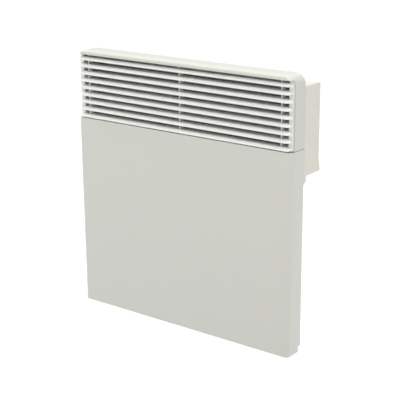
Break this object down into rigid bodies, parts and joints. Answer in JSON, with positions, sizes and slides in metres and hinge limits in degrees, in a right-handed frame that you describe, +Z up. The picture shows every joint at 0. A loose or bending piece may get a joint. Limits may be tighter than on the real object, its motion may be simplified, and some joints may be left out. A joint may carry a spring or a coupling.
{
  "type": "wall panel convector heater",
  "caption": "Slim wall-hung electric convector: louvred front outlet, folded steel casing, finned element, rear control box with thermostat knob and switch, hook-on bracket.",
  "frame": {"origin": "centre of the wall bracket's cross-bar, on its back face, which lies on the wall", "axes": "+Y into the wall, +X to the right of someone facing the heater, +Z up"},
  "size_m": [0.42, 0.083, 0.4402],
  "materials": {
    "enamel_white": "semi-matt white powder coat with a very fine orange peel",
    "plastic_white": "satin white moulded plastic",
    "box_white": "satin white moulded plastic matched to the enamel",
    "zinc_steel": "galvanised sheet with spangle",
    "guide_paint": "heat-resistant matt dark grey paint",
    "bracket_paint": "white primer paint",
    "aluminium": "extruded, lightly oxidised",
    "steel": "drawn stainless tube",
    "ceramic": "unglazed steatite ceramic",
    "silicone": "matt silicone rubber",
    "plastic_grey": "glass-filled nylon",
    "plastic_black": "black moulded plastic",
    "lens_red": "clear red moulded lens",
    "board_green": "solder mask over glass laminate",
    "wire_brown": "silicone insulation",
    "wire_blue": "silicone insulation"
  },
  "bodies": {
    "wall_bracket": {"wall_bracket": "bracket_paint"},
    "casing": {"front_panel": "enamel_white", "top_hood": "enamel_white", "outlet_grille": "plastic_white", "rear_panel": "zinc_steel", "inlet_grille": "zinc_steel", "air_guide": "guide_paint", "heating_element": "aluminium", "element_rod": "steel", "element_terminal_left": "ceramic", "element_terminal_right": "ceramic", "element_bush_left": "silicone", "element_bush_right": "silicone", "element_bearer_left": "zinc_steel", "element_bearer_right": "zinc_steel", "element_wire_left": "wire_blue", "element_wire_right": "wire_brown", "cutout_bracket": "zinc_steel", "thermal_cutout": "plastic_black", "room_sensor": "steel", "sensor_clip": "plastic_white", "control_box": "box_white", "control_fascia": "plastic_white", "indicator_lens": "lens_red", "thermostat_body": "plastic_black", "switch_body": "plastic_black", "control_board": "board_green", "terminal_block": "plastic_white", "supply_grommet": "plastic_black", "wire_grommet": "plastic_black"},
    "lock_left": {"lock_left": "plastic_grey"},
    "lock_right": {"lock_right": "plastic_grey"},
    "thermostat": {"thermostat_knob": "plastic_white", "thermostat_spindle": "steel"},
    "power_rocker": {"power_rocker": "plastic_black"}
  },
  "joints": [
    {"name": "casing_lift", "type": "slide", "parent": "wall_bracket", "child": "casing", "axis": [0, 0, 1], "range_m": [0, 0.012]},
    {"name": "lock_left_turn", "type": "hinge", "parent": "wall_bracket", "child": "lock_left", "pos_m": [-0.0689, -0.0485, 0.069], "axis": [0, -1, 0], "range_deg": [0, 90]},
    {"name": "lock_right_turn", "type": "hinge", "parent": "wall_bracket", "child": "lock_right", "pos_m": [0.0689, -0.0485, 0.069], "axis": [0, 1, 0], "range_deg": [0, 90]},
    {"name": "thermostat_turn", "type": "hinge", "parent": "casing", "child": "thermostat", "pos_m": [0.128, -0.02587, 0.2524], "axis": [0, 0, -1], "range_deg": [-135, 135]},
    {"name": "rocker_tilt", "type": "hinge", "parent": "casing", "child": "power_rocker", "pos_m": [0.166, -0.02587, 0.2504], "axis": [1, 0, 0], "range_deg": [0, 16]}
  ]
}
